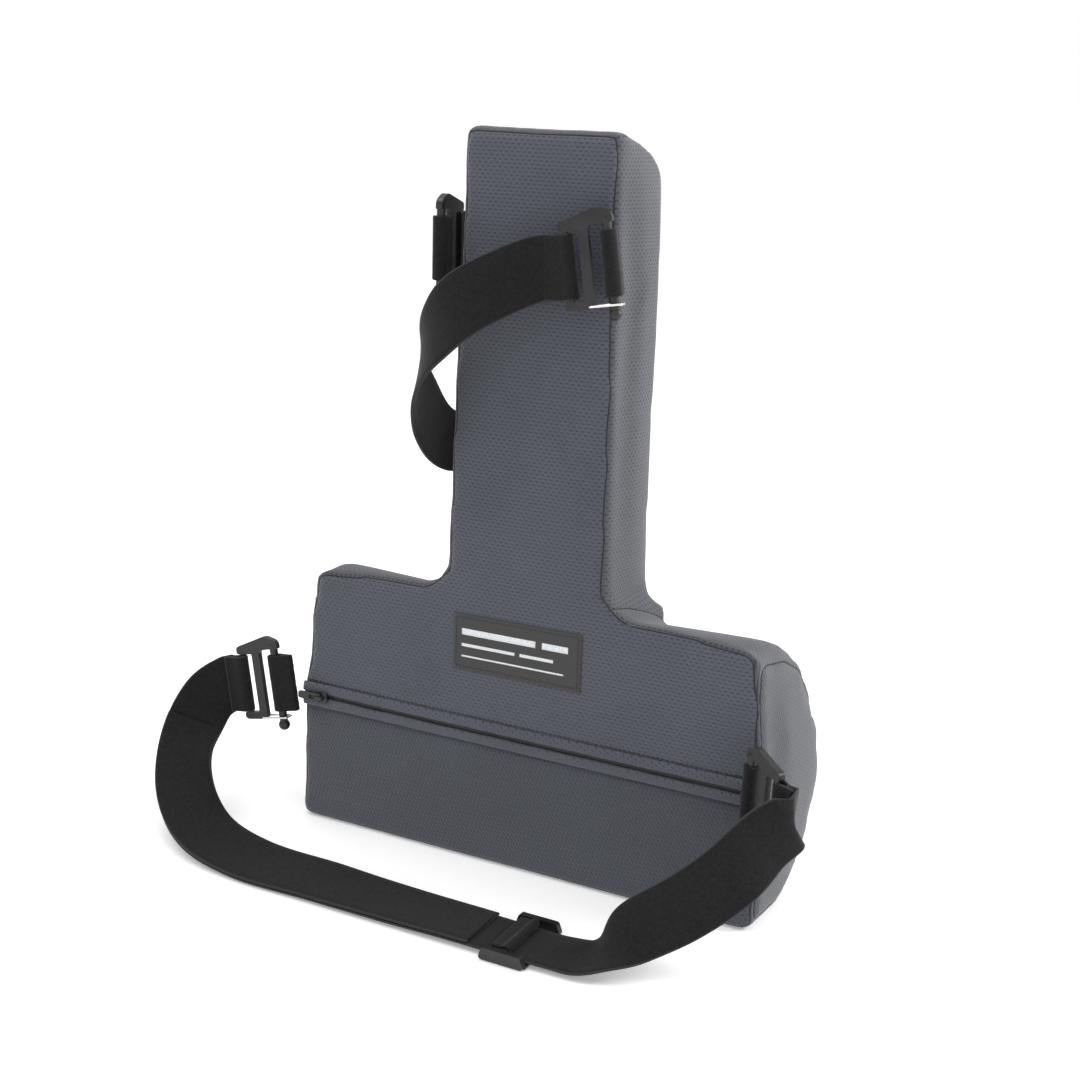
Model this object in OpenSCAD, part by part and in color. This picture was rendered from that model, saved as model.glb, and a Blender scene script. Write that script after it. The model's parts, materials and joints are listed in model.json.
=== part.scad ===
// Back support cushion for a chair: a thoracic column standing on a lumbar roll, in a zipped cover,
// with two webbing straps held by gated hooks.
// Units are millimetres. +X is to the right seen from behind, +Y is forwards (towards the sitter), +Z is up.
// The origin is the centre of the flat foot that the support stands on.
// "Leaning frame": x across, y into the cushion from its flat back, z up along the back.

/* [Size] */
// Height from the floor to the top of the column
total_h = 508; // [490:1:525]
// Width of the lumbar base
base_w = 366; // [350:1:380]
// Height of the lumbar base measured up its back
base_h = 196; // [192:1:200]
// Depth of the lumbar base from its back bottom edge to its front
base_d = 112; // [106:1:118]
// Height at which the lumbar base reaches furthest forward
bulge_z = 85; // [80:1:90]
// Depth of the flat foot under the base
foot_d = 50; // [46:1:54]
// Radius of the upper front curve of the base
base_crown_r = 110; // [106:1:114]
// Forward lean of the back
lean = 4.75; // [4:0.25:5.5]
// How far each end of the base is pulled in at its top
end_pull_in = 9; // [4:1:12]

/* [Column] */
// Width of the column where it meets the base
col_w_foot = 127; // [120:1:134]
// Width of the column at its top
col_w_top = 115; // [110:1:120]
// Depth of the column
col_d = 84; // [80:1:90]
// Radius of the column's upright front corners
col_corner_r = 26; // [20:1:32]
// Radius of the column's top, which rolls down to the front
col_top_r = 70; // [64:1:78]
// Depth at which the top starts to roll down
col_top_flat = 18; // [12:1:20]
// Radius of the hollow corner between the column and the base
shoulder_r = 18; // [12:1:24]

/* [Cover] */
// Thickness of the sewn cover fabric
cover_t = 2; // [1.6:0.1:2.4]
// Space left between neighbouring pieces
gap = 0.1; // [0.05:0.05:0.2]
// Height of the zipper up the back
zip_z = 96; // [94:1:98]
// Height of the band cut out of the back panel for the zipper
zip_band_h = 16; // [15:1:17]
// Distance between two teeth of the zipper coil
tooth_pitch = 3; // [2.5:0.5:4]
// Width of the slot between the two rolled welts
welt_slot = 3.4; // [3:0.1:3.6]
// Height the rolled welts stand off the back
welt_proud = 2.6; // [2.2:0.1:2.8]
// Width of the sewn label
label_w = 101; // [95:1:105]
// Height of the sewn label
label_h = 41; // [38:1:42]
// Height of the label's centre up the back
label_z = 159.5; // [155:0.5:162]
// Distance of the label's centre from the middle
label_x = -2; // [-6:1:6]

/* [Webbing and hooks] */
// Width of the webbing
web_w = 42; // [40:1:43]
// Thickness of the webbing
web_t = 2.2; // [2:0.1:2.4]
// Height of the upper hooks up the back
upper_z = 427; // [415:1:435]
// Height of the lower hooks up the back
lower_z = 100; // [98:1:102]
// Radius of the bar that hangs in the tab
hook_bar_r = 3; // [2.8:0.1:3.2]
// Distance from the tab bar to the strap bar
hook_reach = 28; // [27:1:29]
// Radius of the strap bar
strap_bar_r = 2; // [1.8:0.1:2.1]
// Thickness of the moulded hook frame
frame_t = 4.4; // [4.3:0.1:4.8]
// Diameter of the steel gate wire
wire_d = 1.6; // [1.4:0.1:1.8]
// Distance between the floor and the lower strap
floor_gap = 3; // [2.5:0.5:4]

/* [Hidden] */
$fn = 48;
big = 700;
foot_back = -foot_d / 2;
back_len = total_h / cos(lean) - 2;
foot_r = (pow(bulge_z, 2) + pow(base_d - foot_d, 2)) / (2 * (base_d - foot_d));
half_w = base_w / 2;
col_taper = (col_w_foot - col_w_top) / 2 / (back_len - base_h);
col_edge_at_hooks = col_w_foot / 2 - (upper_z - base_h) * col_taper;
zip_len = base_w - 8;
tooth_size = [1.6, 1.6, 2];
zip_groove_h = 12;
zip_groove_d = cover_t + 2.4;
slot_half = welt_slot / 2;
loop_clear = 0.4;
tab_loop_r = hook_bar_r + loop_clear;
strap_loop_r = strap_bar_r + loop_clear;
arm_inner = web_w / 2 + 1;
arm_outer = arm_inner + 5.5;
gate_pivot = [16, -arm_inner - 4];
gate_leg_y = hook_bar_r + wire_d / 2 + 0.15;
gate_far_x = -hook_bar_r - wire_d - 0.4;
bulb_r = 4.2;
bulb_z = gate_pivot.y - 6;
adjuster_x = 58;
adjuster_run = 28;
layer_gap = 0.3;
floor_run_y = -112;
run_z = floor_gap + web_t / 2;
adjuster_bar_z = web_t / 2 + 2.5;

// Hook sites in the leaning frame: tab bar, heading of the hook, tilt of its bars, swing of the tab, tab length
BAR = 0;
HEADING = 1;
TILT = 2;
SWING = 3;
TAB_LEN = 4;
upper_right = [[col_edge_at_hooks + 2, -12, upper_z], 190, 9, 80, 11];
upper_left = [[-col_edge_at_hooks - 7, -9, upper_z], 98, -2, 143, 8];
lower_right = [[half_w - 4.5, -13, lower_z], -33, 2, -103, 8];
lower_left = [[-half_w - 17, -4, lower_z], 184, 10, -4, 15];

// ---- vectors and outlines ----

function unit(v) = v / norm(v);
function turn_x(v, a) = [v.x, v.y * cos(a) - v.z * sin(a), v.y * sin(a) + v.z * cos(a)];
function turn_y(v, a) = [v.x * cos(a) + v.z * sin(a), v.y, v.z * cos(a) - v.x * sin(a)];
function turn_z(v, a) = [v.x * cos(a) - v.y * sin(a), v.x * sin(a) + v.y * cos(a), v.z];

// An outline whose corners are replaced by arcs; each corner is [x, y, radius].
function rounded(corners, steps = 6) = [
    for (i = [0:len(corners) - 1])
        let (
            n = len(corners),
            here = corners[i],
            p = [here.x, here.y],
            before = corners[(i + n - 1) % n],
            after = corners[(i + 1) % n],
            to_before = unit([before.x, before.y] - p),
            to_after = unit([after.x, after.y] - p),
            half = acos(to_before * to_after) / 2,
            centre = p + unit(to_before + to_after) * here.z / sin(half),
            start = p + to_before * here.z / tan(half) - centre,
            side = cross(to_before, to_after) > 0 ? -1 : 1,
            first = atan2(start.y, start.x)
        )
        each here.z == 0 ? [p] : [
            for (k = [0:steps])
                let (a = first + side * (180 - 2 * half) * k / steps)
                centre + here.z * [cos(a), sin(a)]
        ]
];

// ---- ribbons: flat webbing along a smooth path ----
// A station is [centre, width direction]; the path runs smoothly through all the centres.
// Between stations the webbing is squared to the path; at its two ends it keeps the stated direction.

function spline(p0, p1, p2, p3, t) =
    (2 * p1 + (p2 - p0) * t + (2 * p0 - 5 * p1 + 4 * p2 - p3) * t * t
        + (3 * p1 - p0 - 3 * p2 + p3) * t * t * t) / 2;

function along(list, which, s) =
    let (
        last = len(list) - 1,
        i = min(floor(s), last - 1),
        p1 = list[i][which],
        p2 = list[i + 1][which],
        p0 = i > 0 ? list[i - 1][which] : 2 * p1 - p2,
        p3 = i + 2 <= last ? list[i + 2][which] : 2 * p2 - p1
    )
    spline(p0, p1, p2, p3, s - i);

function ribbon_ring(stations, s, thick, lift) =
    let (
        step = 0.05,
        last = len(stations) - 1,
        here = along(stations, 0, s),
        ahead = along(stations, 0, min(s + step, last)),
        behind = along(stations, 0, max(s - step, 0)),
        way = unit(ahead - behind),
        raw = along(stations, 1, s),
        squared = min(1, s, last - s),
        wide = unit(raw - squared * (raw * way) * way),
        up = unit(cross(way, wide)),
        middle = here + up * lift
    )
    [
        middle - wide * web_w / 2 - up * thick / 2,
        middle + wide * web_w / 2 - up * thick / 2,
        middle + wide * web_w / 2 + up * thick / 2,
        middle - wide * web_w / 2 + up * thick / 2
    ];

module ribbon(stations, steps = 6, thick = web_t, lift = 0, from = 0, to = -1) {
    last = to < 0 ? len(stations) - 1 : to;
    count = round((last - from) * steps);
    points = [
        for (i = [0:count])
            each ribbon_ring(stations, from + (last - from) * i / count, thick, lift)
    ];
    sides = [
        for (i = [0:count - 1], k = [0:3])
            let (a = 4 * i + k, b = 4 * i + (k + 1) % 4)
            each k == 0 ? [[a, a + 4, b], [a + 4, b + 4, b]] : [[a, b + 4, b], [a, a + 4, b + 4]]
    ];
    first_end = [[0, 1, 2], [0, 2, 3]];
    far = 4 * count;
    last_end = [[far, far + 2, far + 1], [far, far + 3, far + 2]];
    polyhedron(points, concat(sides, first_end, last_end), convexity = 8);
}

// ---- frames of reference ----

module leaning() {
    translate([0, foot_back, 0])
        rotate([-lean, 0, 0])
            children();
}

function from_leaning(p) = turn_x(p, -lean) + [0, foot_back, 0];
function hook_dir(site, v) = turn_z(turn_y(v, site[TILT]), site[HEADING]);
function strap_point(site, out = 0) =
    from_leaning(site[BAR] + hook_dir(site, [hook_reach + out, 0, 0]));
function strap_axis(site) = turn_x(hook_dir(site, [0, 0, 1]), -lean);

module at_hook(site) {
    leaning()
        translate(site[BAR])
            rotate([0, 0, site[HEADING]])
                rotate([0, site[TILT], 0])
                    children();
}

module at_tab(site) {
    at_hook(site)
        rotate([0, 0, site[SWING]])
            children();
}

// ---- cushion body, drawn at any inset so that the cover wraps the foam ----

module back_outline(inset) {
    foot_half = col_w_foot / 2 - inset;
    top_half = col_w_top / 2 - inset;
    end_half = half_w - inset;
    crown_half = half_w - end_pull_in - inset;
    shoulder_z = base_h - inset;
    right = [
        [end_half, -20, 0],
        [end_half, bulge_z, 0],
        [crown_half, shoulder_z - 5, 14],
        [foot_half, shoulder_z, shoulder_r],
        [top_half, back_len + 20, 0]
    ];
    left = [for (i = [len(right) - 1:-1:0]) [-right[i].x, right[i].y, right[i].z]];
    polygon(rounded(concat(right, left)));
}

module outline_prism(inset) {
    leaning()
        rotate([90, 0, 0])
            translate([0, 0, -big])
                linear_extrude(2 * big)
                    back_outline(inset);
}

module base_profile(inset, back_inset) {
    intersection() {
        union() {
            intersection() {
                translate([base_d - foot_r, bulge_z])
                    circle(foot_r - inset, $fn = 120);
                translate([-big, inset])
                    square([2 * big, bulge_z - inset]);
            }
            intersection() {
                translate([base_d - base_crown_r, bulge_z])
                    circle(base_crown_r - inset, $fn = 120);
                translate([-big, bulge_z])
                    square([2 * big, big]);
            }
        }
        rotate(-lean)
            translate([back_inset, -big])
                square([big, 2 * big]);
    }
}

module base_block(inset, back_inset) {
    translate([0, foot_back, 0])
        rotate([90, 0, 90])
            linear_extrude(2 * base_w, center = true)
                base_profile(inset, back_inset);
}

module column_profile(inset, back_inset, top_inset) {
    foot = 60;
    intersection() {
        translate([back_inset, foot])
            square([col_d - inset - back_inset, back_len - top_inset - foot]);
        union() {
            translate([-big, 0])
                square([big + col_top_flat, big]);
            translate([col_top_flat, back_len - col_top_r])
                circle(col_top_r - top_inset, $fn = 120);
            square([big, back_len - col_top_r]);
        }
    }
}

module column_plan(inset) {
    edge = col_w_foot / 2 - inset;
    front = col_d - inset;
    round_r = col_corner_r - inset;
    translate([-edge, -10])
        square([2 * edge, front - round_r + 10]);
    translate([-edge, -10])
        square([2 * edge - round_r, front + 10]);
    translate([edge - round_r, front - round_r])
        circle(round_r);
}

module column_half(inset) {
    intersection() {
        translate([0, -big / 2, 0])
            cube([big, big, big]);
        translate([0, 0, base_h])
            rotate([0, -atan(col_taper), 0])
                translate([0, 0, -base_h - 20])
                    linear_extrude(back_len + 60)
                        column_plan(inset);
    }
}

module column_block(inset, back_inset, top_inset) {
    leaning()
        intersection() {
            union() {
                column_half(inset);
                mirror([1, 0, 0])
                    column_half(inset);
            }
            rotate([90, 0, 90])
                linear_extrude(2 * col_w_foot, center = true)
                    column_profile(inset, back_inset, top_inset);
        }
}

module shoulder_block(inset, back_inset) {
    reach = col_w_foot / 2 + shoulder_r;
    leaning()
        translate([-reach, back_inset, base_h - 40])
            cube([2 * reach, col_d - col_corner_r - inset - back_inset, 40 + shoulder_r]);
}

module upper_body(inset, back_inset, top_inset) {
    intersection() {
        outline_prism(inset);
        union() {
            column_block(inset, back_inset, top_inset);
            shoulder_block(inset, back_inset);
        }
    }
}

module lower_body(inset, back_inset) {
    intersection() {
        outline_prism(inset);
        base_block(inset, back_inset);
    }
}

// Everything nearer the middle than the end panels, less a margin
module between_ends(margin) {
    end_half = half_w - margin;
    crown_half = half_w - end_pull_in - margin;
    leaning()
        rotate([90, 0, 0])
            linear_extrude(2 * big, center = true)
                polygon([
                    [-end_half, -60], [end_half, -60], [end_half, bulge_z],
                    [crown_half, base_h], [crown_half, base_h + 60],
                    [-crown_half, base_h + 60], [-crown_half, base_h], [-end_half, bulge_z]
                ]);
}

// ---- foam ----

module lumbar_foam() {
    skin = cover_t + gap;
    color([0.83, 0.8, 0.7])
        difference() {
            intersection() {
                lower_body(skin, skin);
                between_ends(skin);
            }
            leaning()
                translate([-base_w, -1, zip_z - zip_groove_h / 2])
                    cube([2 * base_w, zip_groove_d + 1, zip_groove_h]);
        }
}

module thoracic_foam() {
    skin = cover_t + gap;
    color([0.86, 0.83, 0.73])
        difference() {
            upper_body(skin, skin, skin);
            base_block(cover_t, 0);
        }
}

// ---- cover ----

module back_slab(low, high) {
    leaning()
        translate([-base_w, 0, low])
            cube([2 * base_w, cover_t, high - low]);
}

module back_panel_upper() {
    color([0.2, 0.22, 0.27])
        intersection() {
            back_slab(zip_z + zip_band_h / 2, big);
            union() {
                upper_body(0, 0, cover_t + gap);
                intersection() {
                    lower_body(0, 0);
                    between_ends(cover_t + gap);
                }
            }
        }
}

module back_panel_lower() {
    color([0.17, 0.19, 0.24])
        intersection() {
            back_slab(-60, zip_z - zip_band_h / 2);
            lower_body(0, 0);
            between_ends(cover_t + gap);
        }
}

module column_wrap_panel() {
    color([0.24, 0.26, 0.31])
        difference() {
            upper_body(0, cover_t + gap, cover_t + gap);
            upper_body(cover_t, 0, -5);
            base_block(-gap, -1);
        }
}

module column_top_cap() {
    color([0.22, 0.24, 0.29])
        intersection() {
            difference() {
                column_block(0, 0, 0);
                column_block(-1, -1, cover_t);
            }
            leaning()
                translate([-big / 2, -1, back_len - col_top_r])
                    cube(big);
        }
}

module lumbar_wrap_panel() {
    color([0.25, 0.27, 0.32])
        difference() {
            intersection() {
                lower_body(0, cover_t + gap);
                between_ends(cover_t + gap);
            }
            base_block(cover_t, -5);
            upper_body(cover_t, -5, 0);
        }
}

module end_panel(side) {
    color([0.2, 0.22, 0.27])
        intersection() {
            difference() {
                lower_body(0, 0);
                between_ends(cover_t);
            }
            translate([side > 0 ? 0 : -big, -big / 2, -1])
                cube([big, big, big]);
        }
}

module end_panel_left() {
    end_panel(-1);
}

module end_panel_right() {
    end_panel(1);
}

// ---- zipper: two tapes with a row of teeth each, under two rolled welts ----

module zip_frame() {
    leaning()
        translate([0, 0, zip_z])
            children();
}

module zipper_tapes() {
    tape_h = zip_band_h / 2 - slot_half - tooth_size.z - 2 * gap;
    color([0.06, 0.06, 0.07])
        zip_frame()
            for (side = [-1, 1])
                translate([0, 1.1, side * (zip_band_h / 2 - gap - tape_h / 2)])
                    cube([zip_len, 0.7, tape_h], center = true);
}

module zipper_coil() {
    count = floor((zip_len - 12) / tooth_pitch);
    color([0.08, 0.08, 0.09])
        zip_frame()
            for (side = [-1, 1], i = [0:count - 1])
                translate([
                    (i - (count - 1) / 2 + side * 0.25) * tooth_pitch,
                    1.1,
                    side * (slot_half + tooth_size.z / 2)
                ])
                    cube(tooth_size, center = true);
}

module zipper_stops() {
    stop_w = 3;
    color([0.1, 0.1, 0.11])
        zip_frame()
            for (side = [-1, 1])
                translate([side * (zip_len / 2 - stop_w / 2), 1.1, 0])
                    cube([stop_w, 1.7, 2 * (slot_half + tooth_size.z)], center = true);
}

// Origin of the slider at rest, at the left end of the zipper
slider_x = -zip_len / 2 + 17;
slider_len = 11;
slider_outer_y = -welt_proud - 0.4;
bail_y = slider_outer_y - 2.9;

module zipper_slider() {
    plate_t = 1.2;
    color([0.05, 0.05, 0.06])
        zip_frame()
            translate([slider_x, 0, 0])
                difference() {
                    union() {
                        translate([0, slider_outer_y, 0])
                            rotate([90, 0, 0])
                                linear_extrude(plate_t)
                                    polygon(rounded([
                                        [-slider_len / 2, -3.2, 1.4], [slider_len / 2, -4.2, 1.4],
                                        [slider_len / 2, 4.2, 1.4], [-slider_len / 2, 3.2, 1.4]
                                    ]));
                        translate([-2.5, slider_outer_y - 0.2, -slot_half + 0.5])
                            cube([5, cover_t + 1 - slider_outer_y, 2 * slot_half - 1]);
                        translate([0, cover_t + 1.3, 0])
                            cube([slider_len - 1, 1, 7], center = true);
                        translate([-3, bail_y - 1.9, -1.1])
                            cube([6, 3.8, 2.2]);
                    }
                    translate([0, bail_y, 0])
                        cylinder(h = 10, r = 0.95, center = true);
                }
}

module zipper_pull() {
    ring_half = 3;
    color([0.07, 0.07, 0.08])
        zip_frame()
            translate([slider_x, bail_y, 0]) {
                cylinder(h = 2 * ring_half, r = 0.85, center = true);
                for (side = [-1, 1])
                    translate([-9, -0.85, side * (ring_half - 0.85) - 0.85])
                        cube([9, 1.7, 1.7]);
                translate([-9, 0.7, 0])
                    rotate([90, 0, 0])
                        linear_extrude(1.4)
                            polygon(rounded([
                                [-9, -2.6, 1.6], [0.5, -3, 0.4], [0.5, 3, 0.4], [-9, 2.6, 1.6]
                            ]));
            }
}

module welt(side) {
    welt_h = zip_band_h / 2 + 1 - slot_half;
    roll_r = welt_proud / 2;
    color([0.19, 0.21, 0.26])
        zip_frame()
            translate([-zip_len / 2, 0, 0])
                rotate([90, 0, 90])
                    linear_extrude(zip_len - 4)
                        mirror([0, side > 0 ? 0 : 1])
                            polygon(rounded([
                                [-gap, slot_half, 0.4], [-gap, slot_half + welt_h, 0.2],
                                [-welt_proud, slot_half + welt_h - 1, roll_r],
                                [-welt_proud, slot_half, roll_r * 0.9]
                            ]));
}

module zipper_welt_upper() {
    welt(1);
}

module zipper_welt_lower() {
    welt(-1);
}

module label() {
    color([0.03, 0.03, 0.03])
        leaning()
            translate([label_x, -gap, label_z])
                rotate([90, 0, 0])
                    linear_extrude(0.8)
                        polygon(rounded([
                            [-label_w / 2, -label_h / 2, 1.5], [label_w / 2, -label_h / 2, 1.5],
                            [label_w / 2, label_h / 2, 1.5], [-label_w / 2, label_h / 2, 1.5]
                        ]));
}

// ---- webbing tabs sewn into the seams ----

module tab(site) {
    outer = tab_loop_r + web_t;
    length = site[TAB_LEN];
    color([0.05, 0.05, 0.05])
        at_tab(site)
            linear_extrude(web_w, center = true)
                difference() {
                    union() {
                        circle(outer);
                        polygon([[0, outer], [-length, web_t], [-length, -web_t], [0, -outer]]);
                    }
                    circle(tab_loop_r);
                    polygon([
                        [0, tab_loop_r], [-length / 2, 0.3], [-length / 2, -0.3], [0, -tab_loop_r]
                    ]);
                }
}

module upper_tab_left() {
    tab(upper_left);
}

module upper_tab_right() {
    tab(upper_right);
}

module lower_tab_left() {
    tab(lower_left);
}

module lower_tab_right() {
    tab(lower_right);
}

// ---- gated hooks: a moulded frame with a strap bar, a tab bar ending in a bulb, and a wire gate ----

module hook(site) {
    end_x = hook_reach + 4;
    corner_x = hook_bar_r + 1.2;
    color([0.06, 0.06, 0.06])
        at_hook(site)
            difference() {
                union() {
                    rotate([90, 0, 0])
                        linear_extrude(frame_t, center = true)
                            polygon(rounded([
                                [end_x, -arm_outer, 3], [end_x, -arm_inner, 2],
                                [19, -arm_inner, 1], [19, arm_inner, 1],
                                [end_x, arm_inner, 2], [end_x, arm_outer, 3],
                                [6, arm_outer + 8, 8], [-corner_x, arm_outer + 4, 5],
                                [-corner_x, arm_outer - 2, 1],
                                [corner_x, arm_outer - 2, 2], [12.5, arm_outer - 3, 3],
                                [12.5, -arm_outer, 3]
                            ]));
                    translate([0, 0, bulb_z])
                        cylinder(h = arm_outer + 1 - bulb_z, r = hook_bar_r);
                    translate([0, 0, bulb_z])
                        sphere(bulb_r);
                    translate([hook_reach, 0, 0])
                        cylinder(h = 2 * arm_inner + 2, r = strap_bar_r, center = true);
                }
                for (side = [-1, 1])
                    translate([gate_pivot.x, side * (frame_t / 2 - 0.9), gate_pivot.y])
                        rotate([90, 0, 0])
                            cylinder(h = 2, r = wire_d / 2 + 0.06, center = true);
            }
}

module upper_hook_left() {
    hook(upper_left);
}

module upper_hook_right() {
    hook(upper_right);
}

module lower_hook_left() {
    hook(lower_left);
}

module lower_hook_right() {
    hook(lower_right);
}

// A steel U of wire: its two ends turn in to the hook's foot and its far bar passes behind the tab bar
module gate(site) {
    wire_r = wire_d / 2;
    bend_r = 1.4;
    leg_len = gate_pivot.x - gate_far_x - 2 * bend_r;
    pin_len = gate_leg_y - frame_t / 2 + 0.8 - bend_r;
    color([0.8, 0.8, 0.82])
        at_hook(site)
            translate([gate_pivot.x, 0, gate_pivot.y])
                for (side = [0, 1])
                    mirror([0, side, 0]) {
                        translate([0, gate_leg_y - bend_r, 0])
                            rotate([90, 0, 0])
                                cylinder(h = pin_len, r = wire_r, $fn = 24);
                        translate([-bend_r, gate_leg_y - bend_r, 0])
                            rotate_extrude(angle = 90)
                                translate([bend_r, 0])
                                    circle(wire_r, $fn = 24);
                        translate([-bend_r, gate_leg_y, 0])
                            rotate([0, -90, 0])
                                cylinder(h = leg_len, r = wire_r, $fn = 24);
                        translate([-bend_r - leg_len, gate_leg_y - bend_r, 0])
                            rotate([0, 0, 90])
                                rotate_extrude(angle = 90)
                                    translate([bend_r, 0])
                                        circle(wire_r, $fn = 24);
                        translate([-leg_len - 2 * bend_r, gate_leg_y - bend_r, 0])
                            rotate([90, 0, 0])
                                cylinder(h = gate_leg_y - bend_r, r = wire_r, $fn = 24);
                    }
}

module upper_gate_left() {
    gate(upper_left);
}

module upper_gate_right() {
    gate(upper_right);
}

module lower_gate_left() {
    gate(lower_left);
}

module lower_gate_right() {
    gate(lower_right);
}

// ---- straps ----

module strap_loop(site) {
    at_hook(site)
        translate([hook_reach, 0, 0])
            difference() {
                cylinder(h = web_w, r = strap_loop_r + web_t, center = true);
                cylinder(h = web_w + 2, r = strap_loop_r, center = true);
            }
}

// A strap starts in the outside of its own loop, clear of the hook's arms
strap_start = strap_loop_r + web_t - 0.3;

function leaving(site, out, way = 1) = [strap_point(site, out), way * strap_axis(site)];

// From the right hook the upper strap bellies out behind the column, twists, and rises at its left side
upper_path = [
    leaving(upper_right, strap_start),
    leaving(upper_right, strap_start + 26),
    [[-24, -34, 401], [-0.35, 0.1, 0.92]],
    [[-47, -38, 378], [-0.5, 0.4, 0.75]],
    [[-63, -32, 350], [-0.35, 0.8, 0.45]],
    [[-71, -14, 322], [-0.1, 0.95, 0.25]],
    [[-75, 11, 297], [0, 0.75, 0.6]],
    [[-75, 38, 287], [0, 0.05, 1]],
    [[-75, 64, 302], [0, -0.75, 0.6]],
    [[-75, 76, 342], [0, -1, 0]],
    [[-74, 72, 384], [0, -0.7, -0.7]],
    [[-73, 55, 416], [0, -0.7, -0.7]],
    leaving(upper_left, strap_start, -1)
];

// From the right hook the lower strap drops to the floor, runs along behind the base and climbs to the left hook
lower_path = [
    leaving(lower_right, strap_start),
    [[203, -62, 90], [-0.3, 0, 0.95]],
    [[188, -80, 70], [-0.72, 0, 0.7]],
    [[162, -90, 46], [-0.75, 0.2, 0.62]],
    [[134, -98, 26], [-0.55, 0.5, 0.65]],
    [[111, floor_run_y + 2, 8], [-0.06, 1, 0.15]],
    [[adjuster_x + adjuster_run, floor_run_y, run_z], [0, 1, 0]],
    [[adjuster_x - adjuster_run, floor_run_y, run_z], [0, 1, 0]],
    [[-40, floor_run_y, run_z], [0, 1, 0.05]],
    [[-100, floor_run_y, run_z + 1], [0, 1, 0.12]],
    [[-160, floor_run_y, run_z + 2], [0.08, 1, 0.18]],
    [[-206, -104, 13], [0.4, 0.85, 0.2]],
    [[-238, -86, 30], [0.85, 0.45, 0.1]],
    [[-254, -64, 54], [0.95, 0.1, -0.2]],
    [[-254, -38, 81], [0.45, 0.1, -0.86]],
    leaving(lower_left, strap_start, -1)
];

module upper_strap() {
    color([0.05, 0.05, 0.05]) {
        ribbon(upper_path, 5);
        strap_loop(upper_right);
        strap_loop(upper_left);
    }
}

module lower_strap() {
    color([0.05, 0.05, 0.05]) {
        ribbon(lower_path, 5);
        strap_loop(lower_right);
        strap_loop(lower_left);
    }
}

// The webbing doubles back from the left hook and lies on the first layer as far as the adjuster
module lower_strap_return() {
    color([0.06, 0.06, 0.06])
        ribbon(lower_path, 5, web_t, -web_t - layer_gap, 7.05, 13.8);
}

module at_adjuster() {
    translate([adjuster_x, floor_run_y, run_z])
        children();
}

module slide_adjuster() {
    color([0.05, 0.05, 0.05])
        at_adjuster() {
            for (side = [-1, 1]) {
                translate([0, side * (web_w / 2 + 3.2), 1.2])
                    rotate([90, 0, 0])
                        linear_extrude(4.4, center = true)
                            polygon(rounded([
                                [-17, -4.6, 2], [17, -4.6, 2], [14, 4, 2.5], [-14, 4, 2.5]
                            ]));
                translate([side * 14.4, 0, -web_t / 2 - 1.5])
                    cube([4.4, web_w + 6, 1.6], center = true);
            }
            translate([0, 0, adjuster_bar_z])
                rotate([90, 0, 0])
                    cylinder(h = web_w + 6, r = 1.7, center = true);
        }
}

module strap_end_loop() {
    loop_in = 1.9;
    color([0.05, 0.05, 0.05])
        at_adjuster()
            translate([0, 0, adjuster_bar_z])
                rotate([90, 0, 0])
                    linear_extrude(web_w - 2, center = true)
                        difference() {
                            union() {
                                circle(loop_in + 1.4);
                                translate([-11, -0.2])
                                    square([9, web_t]);
                            }
                            circle(loop_in);
                            translate([-10, -5])
                                square([20, 2.9]);
                        }
}

lumbar_foam();
thoracic_foam();
back_panel_upper();
back_panel_lower();
column_wrap_panel();
column_top_cap();
lumbar_wrap_panel();
end_panel_left();
end_panel_right();
zipper_tapes();
zipper_coil();
zipper_stops();
zipper_slider();
zipper_pull();
zipper_welt_upper();
zipper_welt_lower();
label();
upper_tab_left();
upper_tab_right();
lower_tab_left();
lower_tab_right();
upper_hook_left();
upper_hook_right();
lower_hook_left();
lower_hook_right();
upper_gate_left();
upper_gate_right();
lower_gate_left();
lower_gate_right();
upper_strap();
lower_strap();
lower_strap_return();
slide_adjuster();
strap_end_loop();
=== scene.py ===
"""Looks of a chair back support cushion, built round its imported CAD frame.

Metres, +Z up, +Y forwards, +X to the right seen from behind. The "leaning frame" stands on the
cushion's flat back: x across, y into the cushion, z up the back.
"""

import json
import math

import bmesh
import bpy
import numpy as np
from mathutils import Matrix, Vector, noise
from mathutils.bvhtree import BVHTree
from mathutils.kdtree import KDTree


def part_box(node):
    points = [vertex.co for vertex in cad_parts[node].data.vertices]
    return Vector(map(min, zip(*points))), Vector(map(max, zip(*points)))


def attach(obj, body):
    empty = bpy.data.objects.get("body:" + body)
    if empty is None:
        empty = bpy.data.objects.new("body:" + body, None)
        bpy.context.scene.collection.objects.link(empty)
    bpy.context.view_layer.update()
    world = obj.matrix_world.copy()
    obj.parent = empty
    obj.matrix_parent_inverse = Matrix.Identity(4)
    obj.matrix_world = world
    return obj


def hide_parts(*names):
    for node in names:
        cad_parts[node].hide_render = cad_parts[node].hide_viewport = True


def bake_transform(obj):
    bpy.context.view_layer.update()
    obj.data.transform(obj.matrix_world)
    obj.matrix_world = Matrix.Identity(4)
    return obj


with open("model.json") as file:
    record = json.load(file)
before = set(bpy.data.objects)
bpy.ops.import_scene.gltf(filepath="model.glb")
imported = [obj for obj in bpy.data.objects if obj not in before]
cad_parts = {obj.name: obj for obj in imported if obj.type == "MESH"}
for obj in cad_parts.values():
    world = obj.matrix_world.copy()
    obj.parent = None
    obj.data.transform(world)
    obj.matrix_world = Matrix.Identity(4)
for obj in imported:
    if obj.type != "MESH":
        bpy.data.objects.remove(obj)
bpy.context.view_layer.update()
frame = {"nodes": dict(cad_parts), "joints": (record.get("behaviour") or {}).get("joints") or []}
MM = 0.001


# ---- the leaning frame, from the largest flat face of the upper back panel ----


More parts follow.
